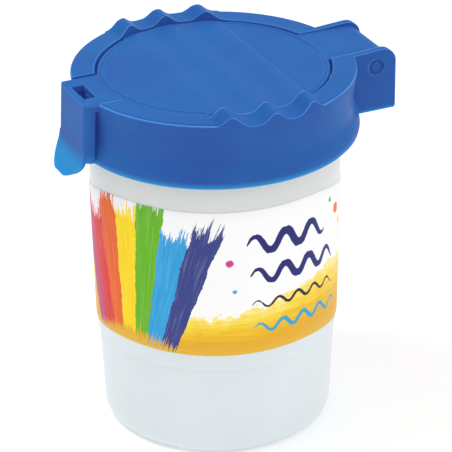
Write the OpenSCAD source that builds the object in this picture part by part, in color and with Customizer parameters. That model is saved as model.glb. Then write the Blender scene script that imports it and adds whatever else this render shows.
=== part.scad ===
// Paint cup with a screw collar, a spill guard and a flip lid.
// Z is up and the cup stands on Z = 0. Its axis is the Z axis.
// The lid hinge lies toward +X, the latch toward -X, and the brush rests run along Y.
// All sizes are in millimetres.

/* [Cup] */
// Height of the cup from the table to its rim
cup_h = 97; // [85:1:115]
// Outer radius of the neck and of the wall just under the collar
neck_r = 34.1; // [30:0.1:40]
// Outer radius of the wall at the foot, before it is rounded
foot_r = 31.45; // [27:0.05:33]
// Wall thickness
cup_wall = 1.5; // [1:0.1:2.5]
// Thickness of the floor
floor_t = 1.8; // [1.2:0.1:3]
// Radius that rounds the foot
foot_round = 3.2; // [1.5:0.1:5]
// Height of the raised ring on the wall
ring_z = 28; // [15:0.5:35]
// Height of that ring along the wall
ring_band = 1.6; // [1:0.1:3]
// How far the ring stands out from the wall below it
ring_out = 0.4; // [0.2:0.05:1]
// Outer radius of the wall just below the ring
waist_r = 32.75; // [28:0.05:38]
// Height at which the tapered wall becomes the straight neck
neck_z = 79; // [70:0.5:84]

/* [Label] */
// Height of the label's lower edge above the table
label_z = 32.2; // [30:0.1:45]
// Height of the label
label_h = 43; // [20:0.5:46]
// Thickness of the label film
label_t = 0.25; // [0.1:0.05:0.5]
// Thickness of the adhesive between the film and the wall
glue_t = 0.05; // [0.02:0.01:0.1]

/* [Collar] */
// Clearance between the neck and the threaded sleeve
sleeve_gap = 0.5; // [0.4:0.05:1]
// Thickness of the sleeve
sleeve_t = 1.1; // [1:0.1:2]
// Depth of the sleeve's lower edge below the top of the collar
sleeve_h = 10; // [8:0.5:13]
// Space between the sleeve and the skirt, at the top
wall_gap = 1.3; // [1.2:0.1:2]
// Thickness of the skirt
skirt_t = 1.2; // [1:0.1:2]
// Depth of the skirt below the top of the collar
skirt_h = 18; // [17.6:0.2:20]
// How far the skirt's waist is drawn in below the top edge
skirt_draw = 0.85; // [0:0.05:0.9]
// How far the skirt's lower part flares out beyond the top edge
skirt_flare = 0.9; // [0:0.1:1.2]
// Thickness of the collar's top plate
ring_t = 1.8; // [1.4:0.1:2.2]
// Width of the flat top ring, from its outer edge to the lid opening
ring_w = 6.5; // [5.5:0.1:7]
// Height of the rib under the plate that presses on the spill guard
rib_h = 2; // [1.5:0.1:3]
// Thickness of that rib
rib_t = 1.5; // [1:0.1:2]
// Width of the ledge at the foot of the rib, under the gap round the lid
ledge_w = 0.5; // [0.2:0.1:0.5]
// Thickness of that ledge
ledge_t = 0.6; // [0.4:0.1:0.8]
// Radius of the collar's top outer edge
edge_r = 0.9; // [0.4:0.1:1.2]

/* [Brush rests] */
// Distance from one crest to the next
rest_pitch = 11.4; // [8:0.1:12]
// Height of the crests above the ring
rest_h = 2.4; // [1:0.1:4]
// Outward fall of the front rests, in degrees
rest_fall = 6.5; // [0:0.5:8]
// Height of the shallow waves that cross the lid between the rests
wave_h = 0.35; // [0:0.05:0.4]

/* [Spill guard] */
// Thickness of the flange on the cup's rim, and of the funnel
guard_t = 1.4; // [1:0.1:2]
// Space between the seat's lip and the collar's rib
seat_gap = 0.8; // [0.8:0.1:2]
// Thickness of the seat that takes the lid's plug
seat_t = 1.3; // [1:0.1:2]
// Inner radius of the funnel's lower mouth
throat_r = 14; // [9:0.5:18]
// Height of the funnel's lower edge above the table
throat_z = 67; // [60:1:76]
// Length of the straight throat
throat_h = 4; // [2:0.5:8]

/* [Flip lid] */
// Gap between the lid's edge and the ring
lid_gap = 0.7; // [0.4:0.1:1.2]
// Depth of the lid's top face below the ring
lid_drop = 0.4; // [0.3:0.1:0.8]
// Thickness of the lid
lid_t = 1.7; // [1.2:0.1:1.7]
// Radius of the round bead on the lid
bead_r = 0.85; // [0.5:0.05:1]
// Distance of the bead's middle from the lid's edge
bead_in = 1.1; // [1:0.1:3]
// Clearance between the plug and its seat, and under the closed lid
plug_gap = 0.25; // [0.2:0.05:0.5]
// Length of the plug below the lid
plug_h = 5; // [2.5:0.1:5]
// Thickness of the plug
plug_t = 1.25; // [0.8:0.05:1.6]

/* [Latch] */
// Width of the latch arm and its channel
latch_w = 18.6; // [14:0.2:20]
// Distance from the collar's edge to the channel's outer face
latch_out = 2.4; // [2.2:0.1:4]
// Height of the channel
latch_h = 16.2; // [13:0.2:16.4]
// Wall thickness of the channel
latch_t = 1.4; // [1:0.1:1.5]
// Outward lean of the channel, which follows the skirt
latch_lean = 3; // [2:0.5:5]
// Radius of the channel's upright corners
latch_round = 2; // [0.5:0.1:2.2]
// Length of the hole in the arm above the hook
slot_l = 8.8; // [5:0.1:10]
// Width of the hole in the arm
slot_w = 3.5; // [2:0.1:3.8]
// Width of the hook and of the catch on the collar
hook_w = 8; // [4:0.2:10]
// How far the catch stands out from the skirt
catch_out = 0.35; // [0.2:0.05:0.4]
// Width of the thumb tab
tab_w = 16.6; // [10:0.2:18]
// Drop of the thumb tab below the channel
tab_drop = 5; // [3:0.1:8]
// Outward reach of the thumb tab
tab_out = 3.8; // [2:0.1:6]
// Thickness of the thumb tab
tab_t = 1.3; // [0.8:0.1:1.4]
// Radius of the arm's and the channel's top edges
top_round = 0.6; // [0.2:0.1:1]

/* [Hinge] */
// Distance between the two ears
ear_gap = 18.8; // [14:0.2:22]
// Thickness of each ear
ear_t = 2; // [1.5:0.1:3]
// Reach of the ears beyond the ring
ear_out = 10.7; // [10:0.1:11.5]
// Height of the ears above the ring
ear_rise = 0.5; // [0:0.1:1]
// Depth of the ears below the ring
ear_drop = 17.2; // [12:0.1:17.4]
// Radius of the ears' top corner
ear_round = 4; // [2:0.1:5]
// Distance of the pin from the ring's outer edge
pin_out = 4.8; // [4.6:0.1:5.4]
// Depth of the pin below the ring's top
pin_drop = 4.4; // [4.4:0.1:5]
// Radius of the pin stubs
pin_r = 1.55; // [1.2:0.05:1.8]
// Running clearance round the pin stubs
pin_gap = 0.07; // [0.05:0.01:0.1]
// Radius of the sunk mouth of each pin hole
sink_r = 2.4; // [2:0.1:2.6]
// Depth of that mouth
sink_t = 0.8; // [0.4:0.1:1]
// Radius of the barrel round the pin
barrel_r = 3.1; // [2.4:0.1:3.4]
// Side clearance of the hinge arm
arm_gap = 0.25; // [0.2:0.05:0.5]

/* [Hidden] */
$fn = 96;
fine = 160;
eps = 0.01;

// Levels, from the table up
flange_z = cup_h + guard_t;
plate_z = flange_z + rib_h;
top_z = plate_z + ring_t;
face_z = top_z - lid_drop;
under_z = face_z - lid_t;

// Radii that fit one piece to the next
bore_r = neck_r - cup_wall;
sleeve_in = neck_r + sleeve_gap;
sleeve_r = sleeve_in + sleeve_t;
skirt_in = sleeve_r + wall_gap;
ring_r = skirt_in + skirt_t;
ring_in = ring_r - ring_w;
lid_r = ring_in - lid_gap;
flange_r = neck_r - 0.1;
seat_out = ring_in - seat_gap;
seat_r = seat_out - seat_t;
plug_r = seat_r - plug_gap;
flare_z = 16.2;
band_x = 1.25 * rest_pitch;

// Where the hinge lies
pin_x = ring_r + pin_out;
pin_z = top_z - pin_drop;
ear_x = ring_r + ear_out;
ear_y = ear_gap / 2;
arm_y = ear_y - arm_gap;
arm_x = ear_x - 0.6;
sweep_r = arm_x - pin_x + 0.45;

// Points of an arc round a centre, from angle a0 to a1
function arc(cx, cz, r, a0, a1, n) =
    [for (i = [0 : n]) let (a = a0 + (a1 - a0) * i / n) [cx + r * cos(a), cz + r * sin(a)]];

// Outer radius of the tapered cup wall at height z, above and below the ring
upper_r = waist_r + 0.35;
function wall_r(z) =
    z < ring_z ? foot_r + (waist_r - foot_r) * z / ring_z
    : upper_r + (neck_r - upper_r) * min(1, (z - ring_z) / (neck_z - ring_z));

// Outer radius of the collar's skirt at depth d below its top: drawn in to a waist, then flared
waist_top = 7.5;
waist_low = 10.6;
function skirt_r(d) =
    ring_r
    - skirt_draw * pow(sin(90 * min(1, d / waist_top)), 2)
    + (skirt_draw + skirt_flare)
        * pow(sin(90 * max(0, min(1, (d - waist_low) / (flare_z - waist_low)))), 2);
catch_r = skirt_r(4.5) + catch_out;

// A flat outline in X and Z, made w wide along Y
module across(w) {
    translate([0, w / 2, 0])
        rotate([90, 0, 0])
            linear_extrude(w)
                children();
}

// Cup: a thin tapered wall with a straight neck, a raised ring and a rounded foot
module cup() {
    inner_round = foot_round - 1;
    outside = concat(
        [[0, 0]],
        arc(foot_r - foot_round + 0.15, foot_round, foot_round, -90, 0, 8),
        [
            [waist_r, ring_z - ring_band / 2],
            [waist_r + ring_out, ring_z - ring_band / 2 + 0.25],
            [waist_r + ring_out, ring_z + ring_band / 2 - 0.15],
            [wall_r(ring_z + ring_band / 2), ring_z + ring_band / 2],
            [neck_r, neck_z],
            [neck_r, cup_h - 0.4],
            [neck_r - 0.4, cup_h]
        ]
    );
    inside_foot = wall_r(floor_t) - cup_wall;
    inside = concat(
        [
            [bore_r + 0.4, cup_h],
            [bore_r, cup_h - 0.4],
            [bore_r, neck_z],
            [upper_r - cup_wall, ring_z]
        ],
        arc(inside_foot - inner_round, floor_t + inner_round, inner_round, 0, -90, 6),
        [[0, floor_t]]
    );
    color([0.86, 0.89, 0.91])
        rotate_extrude($fn = fine)
            polygon(concat(outside, inside));
}

// Label: a thin film wrapped round the wall above the ring
module label_wrap() {
    low = label_z;
    high = label_z + label_h;
    color([0.97, 0.93, 0.80])
        rotate_extrude($fn = fine)
            polygon([
                [wall_r(low) + glue_t, low],
                [wall_r(low) + glue_t + label_t, low],
                [wall_r(high) + glue_t + label_t, high],
                [wall_r(high) + glue_t, high]
            ]);
}

// Spill guard: a flange on the rim, a seat for the lid's plug and a funnel that keeps
// the water in when the cup falls over
module spill_guard() {
    lip_z = under_z - plug_gap;
    seat_z = under_z - plug_h - 0.8;
    cone_t = guard_t * 1.1;
    color([0.80, 0.84, 0.88])
        rotate_extrude($fn = fine)
            polygon([
                [seat_r + 0.3, lip_z],
                [seat_out, lip_z],
                [seat_out, flange_z],
                [flange_r, flange_z],
                [flange_r, cup_h],
                [seat_out, cup_h],
                [seat_out, seat_z - 0.6],
                [throat_r + guard_t, throat_z + throat_h - cone_t / 2],
                [throat_r + guard_t, throat_z],
                [throat_r, throat_z],
                [throat_r, throat_z + throat_h],
                [seat_r, seat_z],
                [seat_r, lip_z - 0.3]
            ]);
}

// Collar, body of revolution: top ring, flared skirt, threaded sleeve and pressing rib
module collar_ring() {
    lip = 0.75;
    steps = [2, 3.5, 5, 7.5, 10.6, 11.5, 12.4, 13.4, 14.4, 15.3];
    flare = [for (d = steps) [skirt_r(d), top_z - d]];
    inner = [for (i = [len(steps) - 1 : -1 : 0]) [skirt_r(steps[i]) - skirt_t, top_z - steps[i]]];
    rotate_extrude($fn = fine)
        polygon(concat(
            [[ring_in + 0.3, top_z]],
            arc(ring_r - edge_r, top_z - edge_r, edge_r, 90, 0, 6),
            flare,
            [
                [skirt_r(flare_z), top_z - flare_z],
                [skirt_r(flare_z) - lip * 0.3, top_z - skirt_h + 0.6],
                [skirt_r(flare_z) - lip, top_z - skirt_h],
                [skirt_r(flare_z) - skirt_t, top_z - skirt_h],
                [skirt_r(flare_z) - skirt_t, top_z - flare_z]
            ],
            inner,
            [
                [skirt_in, plate_z],
                [sleeve_r, plate_z],
                [sleeve_r, top_z - sleeve_h],
                [sleeve_in, top_z - sleeve_h],
                [sleeve_in, plate_z],
                [ring_in + rib_t, plate_z],
                [ring_in + rib_t, flange_z],
                [ring_in - ledge_w, flange_z],
                [ring_in - ledge_w, flange_z + ledge_t],
                [ring_in, flange_z + ledge_t],
                [ring_in, top_z - 0.3]
            ]
        ));
}

// Height of the brush rests at x: narrow round crests with wide troughs between them
function rest(x) = rest_h * pow(cos(180 * x / rest_pitch), 4);

// Outline of the rests in X and Z, from depth low up to the wave
module rest_outline(low) {
    half = 1.5 * rest_pitch;
    step = rest_pitch / 20;
    polygon(concat(
        [[-half, -low]],
        [for (i = [0 : 60]) let (x = -half + i * step) [x, rest(x)]],
        [[half, -low]]
    ));
}

// Brush rests: the wave crosses the ring at the back, and falls outward at the front
module brush_rests() {
    fall_y = ring_in - 1.7;
    intersection() {
        union() {
            translate([0, ring_in - 5, top_z])
                translate([0, ring_w + 6, 0])
                    rotate([90, 0, 0])
                        linear_extrude(ring_w + 6)
                            rest_outline(0.5);
            translate([0, -fall_y, top_z])
                rotate([90 + rest_fall, 0, 0])
                    linear_extrude(ring_w + 4)
                        rest_outline(1.6);
        }
        rotate_extrude($fn = fine)
            polygon([
                [ring_in, top_z - 1.4],
                [ring_r - 0.05, top_z - 1.4],
                [ring_r - 0.05, top_z - edge_r],
                [ring_r - 0.15, top_z + 0.6],
                [ring_r - 0.4, top_z + rest_h * 0.75],
                [ring_r - 1, top_z + rest_h + eps],
                [ring_in, top_z + rest_h + eps]
            ]);
    }
}

// Room for the two front troughs, which dip below the ring
module front_troughs() {
    translate([-rest_pitch, -ring_r - 2, top_z - 1.2])
        cube([2 * rest_pitch, ring_r + 2 - ring_in + 1.7, 3]);
}

// Hinge ears: two flat plates that rise from the ring, with a round top corner. Their roots
// follow the middle of the skirt's wall.
module ear_plates() {
    mid_y = ear_y + ear_t / 2;
    root = [
        for (d = [ear_drop, 15, 13.5, 12, 10.6, 7, 3.5, 1])
            [sqrt(pow(skirt_r(d) - skirt_t / 2, 2) - pow(mid_y, 2)), top_z - d]
    ];
    for (side = [-1, 1])
        translate([0, side * mid_y, 0])
            across(ear_t)
                polygon(concat(
                    root,
                    [[sqrt(pow(ring_r, 2) - pow(mid_y, 2)) - edge_r, top_z - 0.05]],
                    arc(ear_x - ear_round, top_z + ear_rise - ear_round, ear_round, 90, 0, 10),
                    arc(ear_x - 0.6, top_z - ear_drop + 0.6, 0.6, 0, -90, 4)
                ));
}

// Collar: the ring with its rests, ears and catch, less the slots for the lid's two arms
module collar() {
    slot_floor = under_z - 0.3;
    slot_y = latch_w / 2 + arm_gap;
    catch_top = top_z - 4;
    catch_h = 1.1;
    bore = pin_r + pin_gap;
    hole_y = ear_gap + 2 * ear_t;
    color([0.20, 0.38, 0.68])
        difference() {
            union() {
                difference() {
                    collar_ring();
                    front_troughs();
                    // Slot for the latch arm
                    translate([-ring_r - 5, -slot_y, slot_floor])
                        cube([ring_w + 8, 2 * slot_y, 5]);
                    // Well under the hole in the latch arm
                    translate([-ring_r - 5, -slot_l / 2 - 0.6, top_z - 3.4])
                        cube([7.6, slot_l + 1.2, 5]);
                    // Slot for the hinge arm
                    translate([ring_in - 3, -ear_y, slot_floor])
                        cube([ring_w + 8, ear_gap, 5]);
                    // Room for the barrel to turn
                    translate([pin_x, 0, pin_z])
                        rotate([90, 0, 0])
                            cylinder(h = ear_gap, r = sweep_r, center = true);
                }
                brush_rests();
                ear_plates();
                // Catch for the hook
                intersection() {
                    translate([-ring_r - 3, -hook_w / 2, catch_top - catch_h])
                        cube([4, hook_w, catch_h]);
                    translate([0, 0, catch_top - catch_h])
                        cylinder(h = catch_h, r = catch_r, $fn = fine);
                }
            }
            // Pin holes with their sunk mouths
            translate([pin_x, 0, pin_z])
                rotate([90, 0, 0])
                    cylinder(h = hole_y + 1, r = bore, center = true, $fn = 48);
            for (side = [-1, 1])
                translate([pin_x, side * (ear_y + ear_t - sink_t / 2 + 0.25), pin_z])
                    rotate([90, 0, 0])
                        cylinder(h = sink_t + 0.5, r = sink_r, center = true, $fn = 48);
        }
}

// Lid disc with its round bead, the shallow waves between the rests, and the plug
module lid_disc() {
    bead_c = lid_r - bead_in;
    ear_far = norm([ear_x - 0.6 - pin_x, pin_z - top_z + ear_drop - 0.6]) + 0.6;
    // Disc, with its edge cut back where it passes the ears' lower corners
    difference() {
        translate([0, 0, under_z])
            rotate_extrude($fn = fine)
                polygon([[0, 0], [lid_r, 0], [lid_r, lid_t - 0.25], [lid_r - 0.25, lid_t], [0, lid_t]]);
        for (side = [-1, 1])
            translate([pin_x, side * (ear_y + ear_t / 2), pin_z])
                rotate([90, 0, 0])
                    cylinder(h = ear_t + 2 * arm_gap, r = ear_far + 0.25, center = true);
    }
    // Bead, left out where the waves cross
    difference() {
        translate([0, 0, top_z - bead_r])
            rotate_extrude($fn = fine)
                translate([bead_c, 0])
                    circle(r = bead_r, $fn = 32);
        translate([-band_x, -lid_r - 1, face_z])
            cube([2 * band_x, 2 * lid_r + 2, 4]);
        translate([0, 0, under_z - 4 + lid_t / 2])
            cylinder(h = 4, r = lid_r + 2);
    }
    // Waves
    intersection() {
        across(2 * lid_r + 4)
            polygon(concat(
                [[-band_x, face_z - 0.5]],
                [for (i = [0 : 50]) let (x = -band_x + i * band_x / 25)
                    [x, face_z + wave_h * (0.5 + 0.5 * cos(360 * x / rest_pitch))]],
                [[band_x, face_z - 0.5]]
            ));
        translate([0, 0, under_z])
            cylinder(h = lid_t + wave_h + 1, r = lid_r - 0.1, $fn = fine);
    }
    // Plug
    translate([0, 0, under_z - plug_h])
        rotate_extrude($fn = fine)
            polygon([
                [plug_r - plug_t, 0],
                [plug_r - 0.5, 0],
                [plug_r, 0.9],
                [plug_r, plug_h + eps],
                [plug_r - plug_t, plug_h + eps]
            ]);
}

// Plan of the latch channel: an open box with round outer corners. X runs inward.
module channel_plan(inset) {
    deep = 2.7;
    half = latch_w / 2 - inset;
    r = max(0.3, latch_round - inset);
    translate([inset + r, -half])
        square([deep - inset - r + (inset > 0 ? 1 : 0), 2 * half]);
    translate([inset, -half + r])
        square([deep - inset, 2 * half - 2 * r]);
    intersection() {
        translate([0, -latch_w])
            square([deep, 2 * latch_w]);
        for (side = [-1, 1])
            translate([inset + r, side * (half - r)])
                circle(r = r, $fn = 48);
    }
}

// Space that rounds the top edges of the arm and the channel
module latch_space() {
    out_x = -ring_r - latch_out;
    r = top_round;
    half = latch_w / 2;
    low = face_z - latch_h - 2;
    intersection() {
        across(latch_w + 2)
            polygon(concat(
                [[out_x - 8, low], [out_x - 8, face_z - r]],
                arc(out_x + r * 0.95, face_z - r, r, 177, 90, 6),
                [[-ring_in + 6, face_z], [-ring_in + 6, low]]
            ));
        translate([out_x - 8, 0, 0])
            rotate([90, 0, 90])
                linear_extrude(ring_w + latch_out + 14)
                    polygon(concat(
                        [[-half - 1, low], [-half - 1, face_z - r]],
                        arc(-half + r, face_z - r, r, 180, 90, 6),
                        arc(half - r, face_z - r, r, 90, 0, 6),
                        [[half + 1, face_z - r], [half + 1, low]]
                    ));
    }
}

// Latch: the arm over the ring, the channel outside the skirt, the hook and the thumb tab
module lid_latch() {
    out_x = -ring_r - latch_out;
    root_z = face_z - latch_h;
    lean_x = latch_h * tan(latch_lean);
    difference() {
        union() {
            intersection() {
                union() {
                    // Arm across the ring
                    translate([out_x + latch_round - 0.2, -latch_w / 2 + 0.02, under_z])
                        cube([ring_w + latch_out + 3, latch_w - 0.04, lid_t + 1]);
                    // Channel, closed on top by the arm
                    translate([out_x, 0, face_z])
                        rotate([0, latch_lean, 0])
                            translate([0, 0, -latch_h])
                                difference() {
                                    linear_extrude(latch_h + 2)
                                        channel_plan(0);
                                    translate([0, 0, -1])
                                        linear_extrude(latch_h + 1 - lid_t)
                                            channel_plan(latch_t);
                                }
                }
                latch_space();
            }
            // Hook on the inside of the outer wall
            hook();
            thumb_tab();
        }
        // Hole above the hook
        translate([out_x + latch_t, -slot_l / 2, under_z - 1])
            cube([slot_w, slot_l, lid_t + 2]);
    }
}

// Hook: a small wedge below the catch
module hook() {
    out_x = -ring_r - latch_out;
    hook_z = top_z - 5.5;
    hook_h = 2.2;
    tip_x = -catch_r - 0.15;
    wall_x = out_x + latch_t - 0.5 - 5.5 * tan(latch_lean);
    across(hook_w - 1)
        polygon([
            [wall_x, hook_z],
            [tip_x, hook_z - 0.3],
            [tip_x, hook_z - 0.8],
            [wall_x, hook_z - hook_h]
        ]);
}

// A point on a curve from p0 to p2 that bends toward p1
function bend(p0, p1, p2, t) =
    (1 - t) * (1 - t) * p0 + 2 * t * (1 - t) * p1 + t * t * p2;

// Thumb tab: a strip that flares outward below the channel, with a round end
module thumb_tab() {
    wall_z = 3.4;
    root_z = face_z - latch_h;
    out_x = -ring_r - latch_out - latch_h * tan(latch_lean);
    p0 = [out_x + wall_z * tan(latch_lean), root_z + wall_z];
    p1 = [out_x - 0.1, root_z - 1.2];
    p2 = [out_x - tab_out, root_z - tab_drop];
    n = 10;
    outer = [for (i = [0 : n]) bend(p0, p1, p2, i / n)];
    way = [for (i = [0 : n]) let (t = i / n) 2 * (1 - t) * (p1 - p0) + 2 * t * (p2 - p1)];
    inner = [for (i = [n : -1 : 0]) outer[i] + tab_t * [-way[i][1], way[i][0]] / norm(way[i])];
    half = tab_w / 2;
    intersection() {
        across(latch_w)
            polygon(concat(outer, inner));
        translate([out_x - tab_out - 3, 0, 0])
            rotate([90, 0, 90])
                linear_extrude(tab_out + 9)
                    polygon(concat(
                        [[half, root_z + wall_z + 1], [-half, root_z + wall_z + 1]],
                        [for (a = [180 : 10 : 360])
                            [half * cos(a), root_z + (tab_drop + 0.35) * sin(a)]]
                    ));
    }
}

// Hinge arm: a plate that ends in a round shoulder, two cheeks, a barrel and two pin stubs
module lid_hinge() {
    cheek = 2.6;
    skin = 1.5;
    r = ear_round;
    shoulder = arc(arm_x - r, face_z - r, r, 90, 0, 10);
    inside = arc(arm_x - r, face_z - r, r - skin, 0, 90, 8);
    low_z = pin_z - 1.2;
    // Plate and shoulder over the whole width
    across(2 * arm_y)
        polygon(concat(
            [[lid_r - 4, under_z], [lid_r - 4, face_z]],
            shoulder,
            [[arm_x, low_z], [arm_x - skin, low_z]],
            inside,
            [[pin_x - 2, under_z]]
        ));
    // Cheeks
    for (side = [-1, 1])
        translate([0, side * (arm_y - cheek / 2), 0]) {
            across(cheek)
                polygon([
                    [pin_x - barrel_r, face_z - 0.5],
                    [arm_x - r, face_z - 0.5],
                    [arm_x - 0.5, face_z - r],
                    [arm_x - 0.5, low_z],
                    [pin_x, pin_z - barrel_r + 0.2],
                    [pin_x - barrel_r, pin_z]
                ]);
            translate([pin_x, 0, pin_z])
                rotate([90, 0, 0])
                    cylinder(h = cheek, r = barrel_r, center = true, $fn = 64);
        }
    // Pin stubs with a small chamfer at the end
    for (side = [-1, 1])
        translate([pin_x, side * (arm_y - 1), pin_z])
            rotate([-90 * side, 0, 0])
                rotate_extrude($fn = 48)
                    polygon([
                        [0, 0],
                        [pin_r, 0],
                        [pin_r, ear_t + arm_gap - sink_t + 1 + 0.1],
                        [pin_r - 0.4, ear_t + arm_gap - sink_t + 1 + 0.5],
                        [0, ear_t + arm_gap - sink_t + 1 + 0.5]
                    ]);
}

// Flip lid: one moulding with the disc, the latch and the hinge arm
module flip_lid() {
    color([0.24, 0.44, 0.73])
        union() {
            lid_disc();
            lid_latch();
            lid_hinge();
        }
}

cup();
label_wrap();
spill_guard();
collar();
flip_lid();
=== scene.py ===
"""Dresses a paint cup with a screw collar, a spill guard and a flip lid.

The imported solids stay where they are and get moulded-plastic materials. The printed label and
the screw thread are surfaces worked out from formulas. Lengths are in metres, apart from names
that end in _mm and the layout of the print, which is in millimetres. Z is up, the lid hinge
lies toward +X and the latch toward -X.
"""

import math

import bpy
import numpy as np
from bpy.props import FloatProperty, FloatVectorProperty, IntProperty, PointerProperty
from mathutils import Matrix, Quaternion, Vector


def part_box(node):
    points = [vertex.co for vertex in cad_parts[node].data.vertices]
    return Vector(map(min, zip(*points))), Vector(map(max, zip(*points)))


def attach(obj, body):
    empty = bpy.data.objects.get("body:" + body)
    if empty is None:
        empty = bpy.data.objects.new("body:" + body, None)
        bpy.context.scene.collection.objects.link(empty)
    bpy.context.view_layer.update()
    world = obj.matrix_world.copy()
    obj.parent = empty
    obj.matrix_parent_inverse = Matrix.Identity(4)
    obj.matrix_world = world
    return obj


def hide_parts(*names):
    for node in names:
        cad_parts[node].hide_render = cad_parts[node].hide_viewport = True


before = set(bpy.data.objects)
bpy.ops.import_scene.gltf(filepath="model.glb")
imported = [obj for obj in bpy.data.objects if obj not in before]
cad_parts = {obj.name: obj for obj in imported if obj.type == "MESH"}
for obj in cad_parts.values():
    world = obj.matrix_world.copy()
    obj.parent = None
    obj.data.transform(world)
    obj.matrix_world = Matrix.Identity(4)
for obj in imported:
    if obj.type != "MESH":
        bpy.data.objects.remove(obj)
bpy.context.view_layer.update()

bl_info = {
    "name": "Paint Cup Finish",
    "version": (1, 0, 0),
    "blender": (4, 5, 0),
    "location": "3D View > Sidebar > Paint Cup",
    "description": "Moulded plastics, a printed label, screw threads and a small studio",
    "category": "Object",
}

MM = 0.001
FULL_TURN = 2 * math.pi


# ---------------------------------------------------------------- settings


class PlasticSettings(bpy.types.PropertyGroup):
    """Colours of the mouldings."""

    # Lighter blue of the upward faces: painted light where the light falls on them
    lit_top_blue: FloatVectorProperty(
        name="Top blue",
        description="Blue of the lid and the collar's upper faces",
        subtype="COLOR",
        default=(0.014, 0.098, 0.305),
        min=0.0,
        max=1.0,
    )
    # Darker blue of the upright walls: painted shade
    shaded_wall_blue: FloatVectorProperty(
        name="Deep blue",
        description="Blue of the thick upright walls",
        subtype="COLOR",
        default=(0.024, 0.086, 0.275),
        min=0.0,
        max=1.0,
    )
    # Brighter blue: painted glow of light through thin plastic; it also tints the random clouding
    cloud_and_glow_blue: FloatVectorProperty(
        name="Thin blue",
        description="Brighter blue where the plastic is thin enough to glow",
        subtype="COLOR",
        default=(0.018, 0.250, 0.480),
        min=0.0,
        max=1.0,
    )
    # Pale blue of edges and rounded-over faces: painted highlight
    highlight_blue: FloatVectorProperty(
        name="Edge blue",
        description="Pale blue of the moulded edges",
        subtype="COLOR",
        default=(0.20, 0.56, 0.90),
        min=0.0,
        max=1.0,
    )
    milky: FloatVectorProperty(
        name="Milky",
        description="Colour of the cup's translucent plastic",
        subtype="COLOR",
        default=(0.590, 0.645, 0.670),
        min=0.0,
        max=1.0,
    )
    guard: FloatVectorProperty(
        name="Guard",
        description="Colour of the spill guard",
        subtype="COLOR",
        default=(0.58, 0.64, 0.70),
        min=0.0,
        max=1.0,
    )
    edge_mm: FloatProperty(
        name="Edge softness",
        description="Radius that softens moulded edges, in millimetres",
        default=0.40,
        min=0.0,
        max=1.0,
    )


class LabelSettings(bpy.types.PropertyGroup):
    """Sizes of the printed film."""

    film: FloatProperty(
        name="Film",
        description="Thickness of the film",
        subtype="DISTANCE",
        default=0.00028,
        min=0.00005,
        max=0.001,
    )
    overlap_mm: FloatProperty(
        name="Overlap",
        description="Length of film that laps over at the back, in millimetres",
        default=6.0,
        min=1.0,
        max=20.0,
    )
    top_dip_mm: FloatProperty(
        name="Top dip",
        description="Drop of the upper edge from the front to the sides and back, in millimetres",
        default=5.0,
        min=0.0,
        max=6.0,
    )
    low_dip_mm: FloatProperty(
        name="Low dip",
        description="Drop of the lower edge from the front to the sides and back, in millimetres",
        default=3.2,
        min=0.0,
        max=3.3,
    )
    facing_deg: FloatProperty(
        name="Facing",
        description="Direction that the printed front faces, in degrees from +X",
        default=-114.6,
    )
    around: IntProperty(
        name="Steps around",
        description="Grid steps around the cup",
        default=360,
        min=60,
        max=1000,
    )


class ThreadSettings(bpy.types.PropertyGroup):
    """Sizes of the screw thread."""

    lead_mm: FloatProperty(
        name="Lead",
        description="Rise of the thread in a full turn, in millimetres",
        default=12.0,
        min=4.0,
        max=20.0,
    )
    starts: IntProperty(
        name="Starts", description="Number of ridges on each side", default=3, min=1, max=6
    )
    ridge_mm: FloatProperty(
        name="Ridge",
        description="Height of a ridge, in millimetres",
        default=0.34,
        min=0.1,
        max=0.45,
    )


class StudioSettings(bpy.types.PropertyGroup):
    """Camera, light and floor."""

    camera_at: FloatVectorProperty(
        name="Camera",
        description="Where the camera stands",
        subtype="XYZ",
        default=(-0.26703, -0.58324, 0.38243),
    )
    aim_at: FloatVectorProperty(
        name="Aim",
        description="Point in the middle of the picture",
        subtype="XYZ",
        default=(-0.005116, -0.017819, 0.063522),
    )
    roll_deg: FloatProperty(
        name="Roll", description="Roll of the camera, in degrees", default=-0.574
    )
    lens_mm: FloatProperty(
        name="Lens",
        description="Focal length for a 36 mm sensor",
        default=209.24,
        min=20.0,
        max=400.0,
    )
    floor: FloatVectorProperty(
        name="Floor",
        description="Colour of the floor",
        subtype="COLOR",
        default=(0.90, 0.90, 0.90),
        min=0.0,
        max=1.0,
    )
    sky_dim: FloatProperty(
        name="Dim side",
        description="Strength of the surrounding light's dim side",
        default=0.42,
        min=0.0,
        max=3.0,
    )
    sky_bright: FloatProperty(
        name="Bright side",
        description="Strength of the surrounding light's bright side",
        default=1.02,
        min=0.0,
        max=3.0,
    )
    sky_from: FloatVectorProperty(
        name="Bright direction",
        description="Direction that the surrounding light is strongest in",
        subtype="DIRECTION",
        default=(0.27, -0.25, 0.93),
    )
    key: FloatProperty(
        name="Key light",
        description="Power of the key light",
        default=2.0,
        min=0.0,
        max=200.0,
    )


# ---------------------------------------------------------------- node trees


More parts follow.
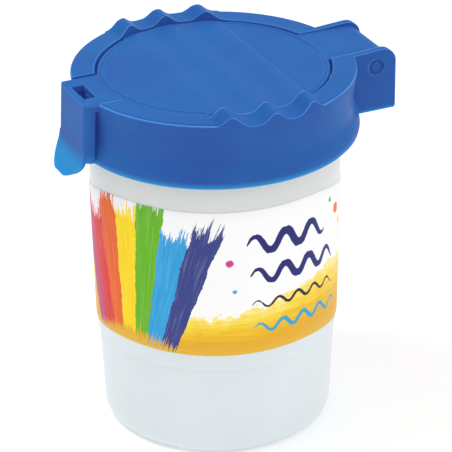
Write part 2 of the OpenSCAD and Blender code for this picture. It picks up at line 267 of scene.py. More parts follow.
class Tree:
    """Short calls that add nodes to a material or a node group and link them."""

    def __init__(self, tree):
        self.nodes = tree.nodes
        self.links = tree.links

    def feed(self, socket, value):
        """Links an output, or sets a plain value."""
        if isinstance(value, bpy.types.NodeSocket):
            self.links.new(value, socket)
        elif value is not None:
            if socket.type == "RGBA" and len(value) == 3:
                value = (*value, 1.0)
            socket.default_value = value

    def add(self, kind, inputs=(), **settings):
        """Adds a node. inputs maps socket names or places to values or outputs."""
        node = self.nodes.new("ShaderNode" + kind)
        for name, value in settings.items():
            setattr(node, name, value)
        for key, value in dict(inputs).items():
            self.feed(node.inputs[key], value)
        return node

    def math(self, operation, a, b=None, c=None, clamp=False):
        node = self.add("Math", operation=operation, use_clamp=clamp)
        for place, value in enumerate((a, b, c)):
            self.feed(node.inputs[place], value)
        return node.outputs[0]

    def swing(self, noise, size):
        """A noise of 0 to 1 as a swing of half the size to either side of zero."""
        return self.math("MULTIPLY", self.math("SUBTRACT", noise, 0.5), size)

    def reach(self, a, b):
        """The square root of a * a + b * b."""
        squares = self.math("MULTIPLY", a, a), self.math("MULTIPLY", b, b)
        return self.math("SQRT", self.math("ADD", *squares))

    def scale(self, vector, by):
        """The vector with each of its parts multiplied."""
        return self.add("VectorMath", {0: vector, 1: by}, operation="MULTIPLY").outputs[0]

    def mix(self, factor, a, b):
        """A colour between a and b."""
        node = self.add("Mix", data_type="RGBA")
        self.feed(node.inputs["Factor"], factor)
        self.feed(node.inputs[6], a)
        self.feed(node.inputs[7], b)
        return node.outputs[2]

    def remap(self, value, low, high, to_low=0.0, to_high=1.0, smooth=True):
        """value from low..high to to_low..to_high, clamped."""
        node = self.add("MapRange", interpolation_type="SMOOTHSTEP" if smooth else "LINEAR")
        for place, number in enumerate((value, low, high, to_low, to_high)):
            self.feed(node.inputs[place], number)
        return node.outputs[0]

    def noise(self, vector, scale, detail=2.0, rough=0.5, warp=0.0):
        node = self.add(
            "TexNoise",
            {
                "Vector": vector,
                "Scale": scale,
                "Detail": detail,
                "Roughness": rough,
                "Distortion": warp,
            },
        )
        return node.outputs["Fac"]

    def ramp(self, value, stops, interpolation="LINEAR"):
        """A colour ramp. stops are (place, colour)."""
        node = self.add("ValToRGB", {"Fac": value})
        band = node.color_ramp
        band.interpolation = interpolation
        while len(band.elements) < len(stops):
            band.elements.new(1.0)
        for element, (place, colour) in zip(band.elements, stops):
            element.position = place
            element.color = (*colour, 1.0)
        return node.outputs["Color"]

    def group(self, tree, inputs=()):
        node = self.add("Group", node_tree=tree)
        for key, value in dict(inputs).items():
            self.feed(node.inputs[key], value)
        return node.outputs


def new_group(name, inputs, outputs):
    """An empty shader node group. inputs are (name, socket type, default) and outputs are
    (name, socket type). Returns the tree, its Tree, and the sockets inside it."""
    tree = bpy.data.node_groups.new(name, "ShaderNodeTree")
    for label, kind, default in inputs:
        socket = tree.interface.new_socket(label, in_out="INPUT", socket_type="NodeSocket" + kind)
        if default is not None:
            socket.default_value = default
    for label, kind in outputs:
        tree.interface.new_socket(label, in_out="OUTPUT", socket_type="NodeSocket" + kind)
    given = tree.nodes.new("NodeGroupInput").outputs
    out = tree.nodes.new("NodeGroupOutput").inputs
    return tree, Tree(tree), given, out


def moulded_surface():
    """Group for every moulding: a slow waviness of the skin, a fine grain and a faint haze."""
    if "Moulded Surface" in bpy.data.node_groups:
        return bpy.data.node_groups["Moulded Surface"]
    tree, t, given, out = new_group(
        "Moulded Surface",
        [
            ("Place", "Vector", None),
            ("Wave", "Float", 90.0),
            ("Grain", "Float", 2600.0),
            ("Grain Share", "Float", 0.2),
        ],
        [("Height", "Float"), ("Haze", "Float")],
    )
    wave = t.noise(given["Place"], given["Wave"], 1.0, 0.4)
    grain = t.noise(given["Place"], given["Grain"], 3.0, 0.6)
    t.feed(out["Height"], t.math("ADD", wave, t.math("MULTIPLY", grain, given["Grain Share"])))
    t.feed(out["Haze"], t.noise(given["Place"], 38.0, 3.0, 0.55))
    return tree


def painted_edge_mask():
    """Group: mask of the moulded edges, where the face turns away from its rounded normal, for the
    painted edge highlight.
    """
    if "Painted Edge Highlight" in bpy.data.node_groups:
        return bpy.data.node_groups["Painted Edge Highlight"]
    tree, t, given, out = new_group("Painted Edge Highlight", [("Radius", "Float", 0.0005)], [("Mask", "Float")])
    rounded = t.add("Bevel", {"Radius": given["Radius"]}, samples=8).outputs[0]
    face = t.add("NewGeometry").outputs["Normal"]
    near = t.add("VectorMath", {0: rounded, 1: face}, operation="DOT_PRODUCT").outputs["Value"]
    t.feed(out["Mask"], t.remap(near, 0.995, 0.80))
    return tree


def brush_wave():
    """Group: mask of one wavy brush line. With x along the line and y across it, a point is
    inside where |y - level - height * sin(2 pi (x - start) / length)| is under half the width,
    which swells in the middle of the stroke, and x lies between start and end."""
    if "Brush Wave" in bpy.data.node_groups:
        return bpy.data.node_groups["Brush Wave"]
    tree, t, given, out = new_group(
        "Brush Wave",
        [
            ("Around", "Float", 0.0),
            ("Up", "Float", 0.0),
            ("Fray", "Float", 0.5),
            ("Start", "Float", 0.0),
            ("End", "Float", 10.0),
            ("Level", "Float", 0.0),
            ("Height", "Float", 1.0),
            ("Length", "Float", 8.0),
            ("Width", "Float", 1.0),
        ],
        [("Mask", "Float")],
    )
    along = t.math("SUBTRACT", given["Around"], given["Start"])
    turns = t.math("MULTIPLY", t.math("DIVIDE", along, given["Length"]), FULL_TURN)
    sway = t.math("MULTIPLY", t.math("SINE", turns), given["Height"])
    middle = t.math("ADD", given["Level"], sway)
    off = t.math("ABSOLUTE", t.math("SUBTRACT", given["Up"], middle))
    steep = t.math("MULTIPLY", t.math("DIVIDE", given["Height"], given["Length"]), FULL_TURN)
    slope = t.math("MULTIPLY", t.math("COSINE", turns), steep)
    stretch = t.math("SQRT", t.math("ADD", t.math("MULTIPLY", slope, slope), 1.0))
    off = t.math("DIVIDE", off, stretch)
    share = t.math("DIVIDE", along, t.math("SUBTRACT", given["End"], given["Start"]), clamp=True)
    belly = t.math("POWER", t.math("SINE", t.math("MULTIPLY", share, math.pi)), 0.45)
    half = t.math("MULTIPLY", t.math("MULTIPLY", given["Width"], 0.5), belly)
    half = t.math("ADD", half, t.swing(given["Fray"], LINE_FRAY))
    edge = t.math("SUBTRACT", half, off)
    inside = t.remap(edge, -0.08, 0.08)
    t.feed(out["Mask"], t.math("MULTIPLY", inside, t.math("GREATER_THAN", belly, 0.05)))
    return tree


def paint_drop():
    """Group: mask of one round drop of paint with an uneven edge."""
    if "Paint Drop" in bpy.data.node_groups:
        return bpy.data.node_groups["Paint Drop"]
    tree, t, given, out = new_group(
        "Paint Drop",
        [
            ("Around", "Float", 0.0),
            ("Up", "Float", 0.0),
            ("Fray", "Float", 0.5),
            ("Middle Around", "Float", 0.0),
            ("Middle Up", "Float", 0.0),
            ("Radius", "Float", 1.0),
        ],
        [("Mask", "Float")],
    )
    dx = t.math("SUBTRACT", given["Around"], given["Middle Around"])
    dy = t.math("SUBTRACT", given["Up"], given["Middle Up"])
    far = t.reach(dx, dy)
    edge = t.math("ADD", given["Radius"], t.swing(given["Fray"], DROP_FRAY))
    t.feed(out["Mask"], t.remap(t.math("SUBTRACT", edge, far), -0.1, 0.1))
    return tree


# ---------------------------------------------------------------- materials


def new_material(name):
    """A material with its Tree and its Principled shader."""
    material = bpy.data.materials.new(name)
    material.use_nodes = True
    tree = material.node_tree
    tree.nodes.clear()
    t = Tree(tree)
    shader = t.add("BsdfPrincipled")
    output = t.add("OutputMaterial")
    tree.links.new(shader.outputs[0], output.inputs[0])
    return material, t, shader


# Height of the skin's bumps, and over how much height the painted highlight on rounded-over faces
# sets in
SKIN_DEPTH = 0.0004
ROUND_FADE = 0.001


def soft_edges(t, height, strength, radius):
    """Normal for the shader: the surface's bumps over edges rounded by the given radius."""
    rounded = t.add("Bevel", {"Radius": radius}, samples=6)
    bump = t.add(
        "Bump",
        {
            "Strength": strength,
            "Distance": SKIN_DEPTH,
            "Height": height,
            "Normal": rounded.outputs[0],
        },
    )
    return bump.outputs[0]


def blue_plastic(name, settings, thin_below, thin_over, edge_share, round_from):
    """Satin blue plastic. Upright walls take a darker blue, painted shade, and upward faces a
    lighter one, painted light. It brightens where it thins out between the heights thin_over and
    thin_below: a painted glow of light through the thin plastic. edge_share is how strong the
    painted highlight on its edges is, and above the height round_from, faces that lean half way
    over get that painted highlight as well."""
    material, t, shader = new_material(name)
    own = t.add("TexCoord").outputs
    place = own["Object"]
    skin = t.group(
        moulded_surface(), {"Place": place, "Wave": 60.0, "Grain": 3000.0, "Grain Share": 0.12}
    )
    up = t.add("SeparateXYZ", {"Vector": own["Normal"]}).outputs["Z"]
    # Upward faces take the lighter blue and upright walls the darker one: painted light and painted
    # shade
    facing_up = t.remap(up, 0.1, 0.9)
    colour = t.mix(facing_up, tuple(settings.shaded_wall_blue), tuple(settings.lit_top_blue))
    cloud = t.remap(skin["Haze"], 0.3, 0.7)
    colour = t.mix(t.math("MULTIPLY", cloud, 0.16), colour, tuple(settings.cloud_and_glow_blue))
    height = t.add("SeparateXYZ", {"Vector": place}).outputs["Z"]
    # Brighter blue near the lower edges of the skirt and the tab: painted glow of light through the
    # thin plastic
    thin = t.remap(height, thin_below, thin_over)
    colour = t.mix(thin, colour, tuple(settings.cloud_and_glow_blue))
    # Pale blue on edges, and on faces near the top that lean half way over, stronger on upward
    # ones: painted highlight
    edge = t.group(painted_edge_mask(), {"Radius": settings.edge_mm * MM})["Mask"]
    round_highlight = t.math("MULTIPLY", t.remap(up, 0.30, 0.50), t.remap(up, 0.76, 0.60))
    above = t.remap(height, round_from, round_from + ROUND_FADE, 0.0, 0.5)
    round_highlight = t.math("MULTIPLY", round_highlight, above)
    edge = t.math("MAXIMUM", edge, round_highlight)
    edge_highlight = t.math("MULTIPLY", edge, t.remap(up, -0.2, 0.6, 0.2 * edge_share, edge_share))
    colour = t.mix(edge_highlight, colour, tuple(settings.highlight_blue))
    t.feed(shader.inputs["Base Color"], colour)
    t.feed(shader.inputs["Roughness"], t.remap(skin["Haze"], 0.2, 0.8, 0.36, 0.44))
    normal = soft_edges(t, skin["Height"], 0.06, settings.edge_mm * MM)
    t.feed(shader.inputs["Normal"], normal)
    shader.inputs["IOR"].default_value = 1.49
    shader.inputs["Specular IOR Level"].default_value = 0.03
    # Dim deep blue emission lifts gaps and shadows: painted glow standing in for light through the
    # translucent walls
    shader.inputs["Emission Color"].default_value = (0.02, 0.035, 0.24, 1.0)
    shader.inputs["Emission Strength"].default_value = 0.4
    shader.inputs["Subsurface Weight"].default_value = 0.6
    shader.inputs["Subsurface Radius"].default_value = (0.15, 0.35, 1.0)
    shader.inputs["Subsurface Scale"].default_value = 0.003
    return material


def milky_plastic(name, colours, roughness, edge, warm_from, warm_to):
    """Milky translucent plastic. It clouds slowly from the first colour to the second, and turns to
    the third between the heights warm_from and warm_to. On the cup this third colour is painted
    shade of the collar on the neck."""
    material, t, shader = new_material(name)
    place = t.add("TexCoord").outputs["Object"]
    skin = t.group(
        moulded_surface(), {"Place": place, "Wave": 45.0, "Grain": 2200.0, "Grain Share": 0.1}
    )
    cloud = t.remap(skin["Haze"], 0.25, 0.75)
    height = t.add("SeparateXYZ", {"Vector": place}).outputs["Z"]
    warm = t.remap(height, warm_from, warm_to)
    clouded = t.mix(cloud, colours[0], colours[1])
    t.feed(shader.inputs["Base Color"], t.mix(warm, clouded, colours[2]))
    t.feed(shader.inputs["Roughness"], t.remap(skin["Haze"], 0.2, 0.8, roughness, roughness + 0.08))
    t.feed(shader.inputs["Normal"], soft_edges(t, skin["Height"], 0.05, edge))
    shader.inputs["IOR"].default_value = 1.5
    shader.inputs["Subsurface Weight"].default_value = 0.35
    shader.inputs["Subsurface Radius"].default_value = (1.0, 1.0, 1.0)
    shader.inputs["Subsurface Scale"].default_value = 0.004
    # Faint pale emission: painted glow standing in for light through the translucent plastic
    shader.inputs["Emission Color"].default_value = (0.90, 0.97, 1.0, 1.0)
    shader.inputs["Emission Strength"].default_value = 0.10
    return material


# Colours of the fan of brush strokes, and how far up each one reaches, from left to right
FAN_COLOURS = (
    (0.50, 0.045, 0.18),
    (0.73, 0.020, 0.025),
    (0.83, 0.125, 0.010),
    (0.97, 0.690, 0.003),
    (0.14, 0.460, 0.015),
    (0.03, 0.350, 0.700),
    (0.04, 0.055, 0.240),
)
FAN_REACH = (1.02, 0.94, 1.01, 0.96, 1.03, 0.93, 0.98)

# Length of film for one of the print's two faces, and how far the first one is shifted
FACE_MM = 106.0
FACE_SHIFT = 56.0

# Point below the label that the fan opens from, and the angles of its two sides
FAN_X = 30.0
FAN_Y = -38.0
FAN_LEFT = -0.37
FAN_RIGHT = 0.36

# How far from that point the strokes begin, and how ragged their ends are
FAN_FOOT = 42.0
FOOT_FRAY = 16.0
TIP_FRAY = 26.0

# Mean height of the wash's upper edge, its swell, where it is highest and its raggedness
WASH_TOP = 16.0
WASH_SWELL = 4.5
WASH_PEAK = 104.0
WASH_FRAY = 9.0

# Raggedness of the edges of the wavy lines and of the drops
LINE_FRAY = 0.5
DROP_FRAY = 1.1

# Measures of each wavy line, and its colour
WAVE_PARTS = ("Start", "End", "Level", "Height", "Length", "Width")
WAVES = (
    (64.0, 90.0, 33.0, 2.3, 9.0, 2.4, (0.018, 0.022, 0.16)),
    (65.0, 95.0, 23.5, 2.0, 8.2, 2.1, (0.018, 0.022, 0.16)),
    (65.5, 96.0, 14.8, 1.1, 6.3, 0.9, (0.03, 0.02, 0.03)),
    (66.0, 98.0, 7.6, 1.3, 7.0, 1.3, (0.05, 0.36, 0.56)),
)

# Measures of each drop, and its colour
DROP_PARTS = ("Middle Around", "Middle Up", "Radius")
DROPS = (
    (97.5, 36.0, 1.7, (0.86, 0.15, 0.015)),
    (93.0, 39.4, 0.8, (0.13, 0.45, 0.015)),
    (101.0, 31.5, 1.2, (1.00, 0.72, 0.00)),
    (59.5, 28.0, 1.1, (0.62, 0.05, 0.27)),
    (60.8, 19.5, 0.6, (0.06, 0.38, 0.80)),
)


def label_print(name, around_mm, up_mm):
    """Printed film. A warm wash runs along the lower edge, a fan of brush strokes opens from
    below it, and wavy lines and drops stand on the white. The print repeats on the cup's far
    side. It reads the film's own UV map: u runs once around, v from the lower to the upper edge."""
    material, t, shader = new_material(name)
    uv = t.add("SeparateXYZ", {"Vector": t.add("UVMap", uv_map="film").outputs[0]})
    x_all = t.math("MULTIPLY", uv.outputs["X"], around_mm)
    y = t.math("MULTIPLY", uv.outputs["Y"], up_mm)
    x = t.math("MODULO", t.math("ADD", x_all, FACE_SHIFT), FACE_MM)
    place = t.add("CombineXYZ", {0: x_all, 1: y, 2: 0.0}).outputs[0]
    fray = t.noise(place, 0.9, 4.0, 0.6)
    white = (0.93, 0.93, 0.93)

    # Warm wash with long level streaks
    streak = t.noise(t.scale(place, (0.05, 1.1, 1.0)), 1.0, 5.0, 0.65, 0.3)
    from_peak = t.math("SUBTRACT", x, WASH_PEAK)
    swell = t.math("COSINE", t.math("MULTIPLY", from_peak, FULL_TURN / FACE_MM))
    top = t.math("ADD", t.math("MULTIPLY", swell, WASH_SWELL), WASH_TOP)
    top = t.math("ADD", top, t.swing(t.noise(place, 0.22, 4.0, 0.6), WASH_FRAY))
    depth = t.math("DIVIDE", y, top)
    tone = t.math("ADD", depth, t.swing(streak, 0.8))
    wash = t.ramp(
        tone,
        (
            (0.00, (0.78, 0.46, 0.05)),
            (0.28, (0.77, 0.40, 0.02)),
            (0.55, (0.84, 0.51, 0.02)),
            (0.78, (0.92, 0.66, 0.05)),
            (1.00, (0.95, 0.80, 0.26)),
        ),
    )
    under = t.remap(t.math("ADD", depth, t.swing(fray, 0.35)), 0.97, 1.03)
    colour = t.mix(under, wash, white)

    # Fan of strokes: the angle at a point below the label picks the stroke
    dx = t.math("SUBTRACT", x, FAN_X)
    dy = t.math("SUBTRACT", y, FAN_Y)
    angle = t.math("ARCTAN2", dx, dy)
    radius = t.reach(dx, dy)
    wobble = t.swing(t.noise(place, 0.16, 3.0, 0.6), 0.035)
    bristle_at = t.add(
        "CombineXYZ",
        {0: t.math("MULTIPLY", angle, 95.0), 1: t.math("MULTIPLY", radius, 0.07), 2: x_all},
    ).outputs[0]
    bristle = t.noise(t.scale(bristle_at, (1.0, 1.0, 0.001)), 1.0, 4.0, 0.7)
    across = t.math("ADD", t.math("ADD", angle, wobble), t.swing(fray, 0.012))
    pick = t.remap(across, FAN_LEFT, FAN_RIGHT, smooth=False)
    count = len(FAN_COLOURS)
    stroke = t.ramp(pick, [(n / count, c) for n, c in enumerate(FAN_COLOURS)], "CONSTANT")
    reach = t.ramp(pick, [(n / count, (r, r, r)) for n, r in enumerate(FAN_REACH)], "CONSTANT")
    light = t.remap(bristle, 0.25, 0.8, -0.30, 0.30, smooth=False)
    amount = t.math("MULTIPLY", t.math("ABSOLUTE", light), 0.5)
    shade = t.mix(t.math("GREATER_THAN", light, 0.0), (0.0, 0.0, 0.0), (1.0, 1.0, 1.0))
    stroke = t.mix(amount, stroke, shade)
    tip = t.math("MULTIPLY", reach, up_mm - FAN_Y)
    tip = t.math("ADD", tip, t.swing(bristle, TIP_FRAY))
    foot = t.math("ADD", FAN_FOOT, t.swing(bristle, FOOT_FRAY))
    below_tip = t.remap(t.math("SUBTRACT", tip, radius), -0.3, 0.3)
    above_foot = t.remap(t.math("SUBTRACT", radius, foot), -0.3, 0.3)
    inside = t.math("MULTIPLY", below_tip, above_foot)
    past_left = t.math("GREATER_THAN", across, FAN_LEFT)
    sides = t.math("MULTIPLY", past_left, t.math("LESS_THAN", across, FAN_RIGHT))
    colour = t.mix(t.math("MULTIPLY", inside, sides), colour, stroke)

    # Wavy lines and drops
    at = {"Around": x, "Up": y, "Fray": fray}
    for group, parts, marks in (
        (brush_wave(), WAVE_PARTS, WAVES),
        (paint_drop(), DROP_PARTS, DROPS),
    ):
        for *measures, paint in marks:
            mark = t.group(group, {**at, **dict(zip(parts, measures))})
            colour = t.mix(mark["Mask"], colour, paint)

    t.feed(shader.inputs["Base Color"], colour)
    ripple = t.noise(place, 0.05, 2.0, 0.5)
    t.feed(shader.inputs["Roughness"], t.remap(fray, 0.2, 0.8, 0.40, 0.50))
    bump = t.add("Bump", {"Strength": 0.08, "Distance": 0.001, "Height": ripple})
    t.feed(shader.inputs["Normal"], bump.outputs[0])
    shader.inputs["IOR"].default_value = 1.5
    shader.inputs["Specular IOR Level"].default_value = 0.2
    return material


# ---------------------------------------------------------------- meshes


# Edges sharper than this stay sharp
SHARP_DEG = 40


def grid_faces(rows, columns, close_columns=False):
    """Corner numbers of the quads of a grid of points, as an array with one quad a line."""
    last = columns if close_columns else columns - 1
    i, j = np.meshgrid(np.arange(rows - 1), np.arange(last), indexing="ij")
    after = (j + 1) % columns
    low, high = i * columns, (i + 1) * columns
    quads = np.stack([low + j, low + after, high + after, high + j], -1)
    return quads.reshape(-1, 4)


def make_piece(name, points, faces, material):
    """A mesh object at the origin, with its place in its points."""
    mesh = bpy.data.meshes.new(name)
    mesh.from_pydata(points.reshape(-1, 3).tolist(), [], faces.tolist())
    mesh.validate()
    mesh.polygons.foreach_set("use_smooth", np.full(len(mesh.polygons), True))
    mesh.set_sharp_from_angle(angle=math.radians(SHARP_DEG))
    mesh.materials.append(material)
    piece = bpy.data.objects.new(name, mesh)
    bpy.context.scene.collection.objects.link(piece)
    return piece


def node_points(node):
    """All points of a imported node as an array."""
    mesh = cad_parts[node].data
    flat = np.empty(len(mesh.vertices) * 3, np.float32)
    mesh.vertices.foreach_get("co", flat)
    return flat.reshape(-1, 3).astype(float)


# Points this near a node's lowest or highest point count as its end
END_BAND = 0.0001


def wall_line(node):
    """Radius of a node's outer wall at its lowest and highest points, and those two heights."""
    points = node_points(node)
    radius = np.hypot(points[:, 0], points[:, 1])
    low, high = points[:, 2].min(), points[:, 2].max()
    near_low = radius[points[:, 2] < low + END_BAND].max()
    near_high = radius[points[:, 2] > high - END_BAND].max()
    return near_low, near_high, low, high


# The film is EDGE_FILM thick at its lower and upper edges, and full past EDGE_SHARE of its height
EDGE_FILM = 0.00006
EDGE_SHARE = 0.02

# Even rows of the film's grid, the gap between its two layers where it laps over itself, and
# the power of the sine that its dip follows
FILM_ROWS = 13
LAP_GAP = 0.00003
DIP_POWER = 8


def label_surface(settings):
    """Film round the tapered wall. The height of a point at angle a and share v of the film is
    less by the dip, which runs from the lower edge's value to the upper edge's. On the front
    half it goes as sin(a - facing) to the power DIP_POWER, and on the back half it is whole,
    so the film's edges run level there. The radius of a point is the wall's at its height.
    Where the film laps over itself, its radius steps up by its thickness and LAP_GAP. The film
    has an outer and an inner sheet and closed edges, and thins towards its lower and upper
    edges."""
    r_low, r_high, low, high = wall_line("label_wrap")
    lap = settings.overlap_mm * MM / r_high
    first = math.radians(settings.facing_deg + 180) - FULL_TURN
    a = np.linspace(0, FULL_TURN + lap, settings.around)
    v = np.sort(np.append(np.linspace(0, 1, FILM_ROWS), (EDGE_SHARE, 1 - EDGE_SHARE)))
    around, up = np.meshgrid(a, v)
    turn = first + around
    ease = np.clip((around - (FULL_TURN - 0.5 * lap)) / (0.5 * lap), 0, 1)
    step = (settings.film + LAP_GAP) * ease * ease * (3 - 2 * ease)
    dip = settings.low_dip_mm + (settings.top_dip_mm - settings.low_dip_mm) * up
    off_front = turn - math.radians(settings.facing_deg)
    dip = dip * MM * np.where(np.cos(off_front) > 0, np.sin(off_front) ** DIP_POWER, 1.0)
    height = low + (high - low) * up - dip
    outer = r_low + (r_high - r_low) * (height - low) / (high - low) + step
    thinned = (settings.film - EDGE_FILM) * (1 - np.clip(np.minimum(up, 1 - up) / EDGE_SHARE, 0, 1))
    sheets = [
        np.stack([(outer - inset) * np.cos(turn), (outer - inset) * np.sin(turn), height], -1)
        for inset in (thinned, settings.film)
    ]
    return np.stack(sheets), around / FULL_TURN, up


def label_faces(rows, columns):
    """Quads of the two sheets and of the four edges between them."""
    sheet = grid_faces(rows, columns)
    offset = rows * columns
    rim = np.concatenate(
        [
            np.arange(columns),
            np.arange(1, rows) * columns + columns - 1,
            (rows - 1) * columns + np.arange(columns - 2, -1, -1),
            np.arange(rows - 2, 0, -1) * columns,
        ]
    )
    after = np.roll(rim, -1)
    edges = np.stack([after, rim, rim + offset, after + offset], -1)
    return np.concatenate([sheet, sheet[:, ::-1] + offset, edges])


# A thread ridge: its steps, its share of a turn, the angle over which it eases in and out, its
# least share of height there, its width and how far its foot lies inside the wall
RIDGE_STEPS = 64
RIDGE_TURN = 0.24
RIDGE_EASE = 0.25
RIDGE_LEAST = 0.08
RIDGE_WIDTH = 1.3 * MM
RIDGE_SINK = 0.00004

# Corners of a ridge's profile, as shares of its height and of its width
RIDGE_PROFILE = np.array([(0.0, -0.5), (0.0, 0.5), (1.0, 0.22), (1.0, -0.22)])


def helix_ridge(radius, outward, low, lead, height, turn_from):
    """One thread ridge. A trapezoid profile is carried along a helix: at angle t past turn_from
    it lies at height low + lead * t / (2 pi). Its height eases in and out at both ends, and
    outward is 1 for a ridge on a neck or -1 for one in a sleeve."""
    t = np.linspace(0, RIDGE_TURN * FULL_TURN, RIDGE_STEPS)
    fade = np.clip(np.minimum(t, t[::-1]) / RIDGE_EASE, RIDGE_LEAST, 1)[:, None]
    t = t[:, None]
    rise, spread = RIDGE_PROFILE[:, 0], RIDGE_PROFILE[:, 1]
    crest = radius + outward * rise * height * fade
    depth = np.where(rise == 0, radius - outward * RIDGE_SINK, crest)
    z = low + lead * t / FULL_TURN + spread * RIDGE_WIDTH * (0.5 + 0.5 * fade)
    angle = turn_from + t
    points = np.stack([depth * np.cos(angle), depth * np.sin(angle), z], -1)
    corners = len(RIDGE_PROFILE)
    faces = grid_faces(RIDGE_STEPS, corners, close_columns=True)
    first = np.arange(corners)
    caps = np.stack([first[::-1], (RIDGE_STEPS - 1) * corners + first])
    faces = np.concatenate([faces, caps])
    if outward > 0:
        faces = faces[:, ::-1]
    return points.reshape(-1, 3), faces


def thread_set(name, settings, radius, outward, low, material):
    """All starts of one thread, evenly spaced round the axis, as one piece."""
    points, faces, count = [], [], 0
    for start in range(settings.starts):
        p, f = helix_ridge(
            radius,
            outward,
            low,
            settings.lead_mm * MM,
            settings.ridge_mm * MM,
            start * FULL_TURN / settings.starts,
        )
        points.append(p)
        faces.append(f + count)
        count += len(p)
    return make_piece(name, np.concatenate(points), np.concatenate(faces), material)


def dress(node, material):
    """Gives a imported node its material."""
    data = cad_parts[node].data
    data.materials.clear()
    data.materials.append(material)


# ---------------------------------------------------------------- operators


# Cloudy and upper colours of the cup and of the spill guard. The cup's upper colour is a darker,
# greyer tone on the neck under the collar: painted shade of the collar
MILKY_CLOUD = (0.630, 0.685, 0.710)
MILKY_NECK_SHADE = (0.590, 0.595, 0.575)
GUARD_CLOUD = (0.64, 0.69, 0.74)
GUARD_RIM = (0.61, 0.65, 0.69)

# Heights over the lowest point at which the skirt and the tab thin out and get their painted glow:
# from, to
SKIRT_THIN = (0.0024, 0.0)
TAB_THIN = (0.0085, 0.0035)

# How strong the painted highlight on the edges of the collar and of the lid is, and how far below
# the collar's top its rounded-over faces get that painted highlight
COLLAR_HIGHLIGHT = 0.9
LID_HIGHLIGHT = 0.3
ROUND_BAND = 0.005


class PAINTCUP_OT_plastics(bpy.types.Operator):
    """Gives the cup, the spill guard, the collar and the lid their plastics"""

    bl_idname = "paintcup.plastics"
    bl_label = "Dress the mouldings"

    def execute(self, context):
        settings = context.scene.paintcup_plastics
        edge = settings.edge_mm * MM
        skirt_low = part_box("collar")[0].z
        tab_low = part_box("flip_lid")[0].z
        round_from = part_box("collar")[1].z - ROUND_BAND
        skirt = [skirt_low + over for over in SKIRT_THIN]
        tab = [tab_low + over for over in TAB_THIN]
        collar = blue_plastic("collar_blue", settings, *skirt, COLLAR_HIGHLIGHT, round_from)
        lid = blue_plastic("lid_blue", settings, *tab, LID_HIGHLIGHT, round_from)
        dress("collar", collar)
        dress("flip_lid", lid)
        film_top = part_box("label_wrap")[1].z
        cup_colours = (tuple(settings.milky), MILKY_CLOUD, MILKY_NECK_SHADE)
        guard_colours = (tuple(settings.guard), GUARD_CLOUD, GUARD_RIM)
        # Above the label's top the plastics take their third colour: on the cup, painted shade
        # under the collar
        warm = (film_top - 0.008, film_top + 0.002)
        dress("cup", milky_plastic("cup_milky", cup_colours, 0.34, edge, *warm))
        dress("spill_guard", milky_plastic("guard_milky", guard_colours, 0.38, edge, *warm))
        return {"FINISHED"}


class PAINTCUP_OT_label(bpy.types.Operator):
    """Wraps the printed film round the cup in place of the plain band"""

    bl_idname = "paintcup.label"
    bl_label = "Wrap the label"

    def execute(self, context):
        settings = context.scene.paintcup_label
        sheets, u, v = label_surface(settings)
        rows, columns = u.shape
        low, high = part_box("label_wrap")
        material = label_print("label_print", 2 * FACE_MM, (high.z - low.z) / MM)
        piece = make_piece("label_film", sheets, label_faces(rows, columns), material)
        mesh = piece.data
        corner = np.empty(len(mesh.loops), np.int32)
        mesh.loops.foreach_get("vertex_index", corner)
        both = np.stack([np.stack([u, v], -1)] * 2).reshape(-1, 2)
        layer = mesh.uv_layers.new(name="film")
        layer.data.foreach_set("uv", both[corner].astype(np.float32).ravel())
        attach(piece, "cup_body")
        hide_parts("label_wrap")
        return {"FINISHED"}


# Height of the band below the rim that gives the neck's radius, the gap between neck and
# sleeve, and how far below the rim the two threads start
RIM_BAND = 0.002
SLEEVE_GAP = 0.0005
NECK_START = 0.0056
SLEEVE_START = 0.0036


class PAINTCUP_OT_threads(bpy.types.Operator):
    """Adds the thread ridges on the neck and in the sleeve"""

    bl_idname = "paintcup.threads"
    bl_label = "Cut the threads"

    def execute(self, context):
        settings = context.scene.paintcup_threads
        points = node_points("cup")
        radius = np.hypot(points[:, 0], points[:, 1])
        rim = points[:, 2].max()
        neck = radius[points[:, 2] > rim - RIM_BAND].max()
        sleeve = neck + SLEEVE_GAP
        milky = bpy.data.materials["cup_milky"]
        blue = bpy.data.materials["collar_blue"]
        outer = thread_set("neck_thread", settings, neck, 1, rim - NECK_START, milky)
        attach(outer, "cup_body")
        inner = thread_set("sleeve_thread", settings, sleeve, -1, rim - SLEEVE_START, blue)
        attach(inner, "collar_body")
        return {"FINISHED"}


# Name, place, width and share of the key power of each lamp, and the point they aim at
LAMPS = (
    ("key", (0.35, -0.95, 0.85), 0.8, 0.5),
    ("fill", (-0.36, 0.14, 0.95), 0.3, 1.0),
)
LAMP_AIM = (0.0, 0.0, 0.06)
FLOOR_HALF = 6.0


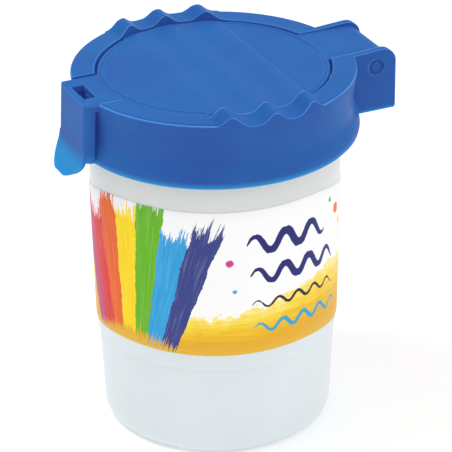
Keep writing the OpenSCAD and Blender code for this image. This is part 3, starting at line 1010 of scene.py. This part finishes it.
class PAINTCUP_OT_studio(bpy.types.Operator):
    """Sets up the camera, the pale floor and soft light"""

    bl_idname = "paintcup.studio"
    bl_label = "Set up the studio"

    def execute(self, context):
        settings = context.scene.paintcup_studio
        self.camera(context, settings)
        self.floor(settings)
        self.lights(context, settings)
        context.scene.view_settings.view_transform = "Standard"
        return {"FINISHED"}

    def camera(self, context, settings):
        data = bpy.data.cameras.new("camera")
        data.lens = settings.lens_mm
        data.sensor_width = 36
        data.clip_start = 0.01
        data.clip_end = 20
        camera = bpy.data.objects.new("camera", data)
        away = Vector(settings.aim_at) - Vector(settings.camera_at)
        roll = Quaternion((0, 0, 1), math.radians(settings.roll_deg))
        camera.location = settings.camera_at
        camera.rotation_mode = "QUATERNION"
        camera.rotation_quaternion = away.to_track_quat("-Z", "Y") @ roll
        context.scene.collection.objects.link(camera)
        context.scene.camera = camera

    def floor(self, settings):
        material, t, shader = new_material("floor_pale")
        place = t.add("TexCoord").outputs["Object"]
        tint = t.mix(t.noise(place, 3.0), tuple(settings.floor), (0.92, 0.92, 0.92))
        t.feed(shader.inputs["Base Color"], tint)
        shader.inputs["Roughness"].default_value = 0.9
        shader.inputs["Specular IOR Level"].default_value = 0.1
        shader.inputs["Emission Color"].default_value = (1.0, 1.0, 1.0, 1.0)
        shader.inputs["Emission Strength"].default_value = 0.17
        corners = FLOOR_HALF * np.array([(-1, -1, 0), (1, -1, 0), (1, 1, 0), (-1, 1, 0)], float)
        make_piece("floor", corners, np.array([[0, 1, 2, 3]]), material)

    def lights(self, context, settings):
        world = bpy.data.worlds.new("studio")
        world.use_nodes = True
        t = Tree(world.node_tree)
        turned = t.add(
            "VectorMath",
            {0: t.add("TexCoord").outputs["Generated"], 1: tuple(settings.sky_from)},
            operation="DOT_PRODUCT",
        )
        back = world.node_tree.nodes["Background"]
        back.inputs["Color"].default_value = (1.0, 1.0, 1.0, 1.0)
        level = t.remap(
            turned.outputs["Value"], -1.0, 1.0, settings.sky_dim, settings.sky_bright, smooth=False
        )
        t.feed(back.inputs["Strength"], level)
        context.scene.world = world
        for name, at, size, share in LAMPS:
            data = bpy.data.lights.new(name, "AREA")
            data.shape = "DISK"
            data.size = size
            data.energy = settings.key * share
            lamp = bpy.data.objects.new(name, data)
            lamp.location = at
            lamp.rotation_mode = "QUATERNION"
            away = Vector(LAMP_AIM) - Vector(at)
            lamp.rotation_quaternion = away.to_track_quat("-Z", "Y")
            context.scene.collection.objects.link(lamp)


class PAINTCUP_PT_panel(bpy.types.Panel):
    """Lists the steps in the sidebar"""

    bl_idname = "PAINTCUP_PT_panel"
    bl_label = "Paint Cup"
    bl_space_type = "VIEW_3D"
    bl_region_type = "UI"
    bl_category = "Paint Cup"

    def draw(self, context):
        scene = context.scene
        for operator, settings in STEPS:
            box = self.layout.box()
            box.operator(operator.bl_idname)
            group = getattr(scene, settings)
            for name in group.bl_rna.properties.keys():
                if name not in ("rna_type", "name"):
                    box.prop(group, name)


STEPS = (
    (PAINTCUP_OT_plastics, "paintcup_plastics"),
    (PAINTCUP_OT_label, "paintcup_label"),
    (PAINTCUP_OT_threads, "paintcup_threads"),
    (PAINTCUP_OT_studio, "paintcup_studio"),
)
SETTINGS = {
    "paintcup_plastics": PlasticSettings,
    "paintcup_label": LabelSettings,
    "paintcup_threads": ThreadSettings,
    "paintcup_studio": StudioSettings,
}


def register():
    for name, group in SETTINGS.items():
        bpy.utils.register_class(group)
        setattr(bpy.types.Scene, name, PointerProperty(type=group))
    for operator, _ in STEPS:
        bpy.utils.register_class(operator)
    bpy.utils.register_class(PAINTCUP_PT_panel)


def unregister():
    bpy.utils.unregister_class(PAINTCUP_PT_panel)
    for operator, _ in reversed(STEPS):
        bpy.utils.unregister_class(operator)
    for name, group in SETTINGS.items():
        delattr(bpy.types.Scene, name)
        bpy.utils.unregister_class(group)


def main():
    register()
    bpy.ops.paintcup.plastics()
    bpy.ops.paintcup.label()
    bpy.ops.paintcup.threads()
    bpy.ops.paintcup.studio()


if __name__ == "__main__":
    main()
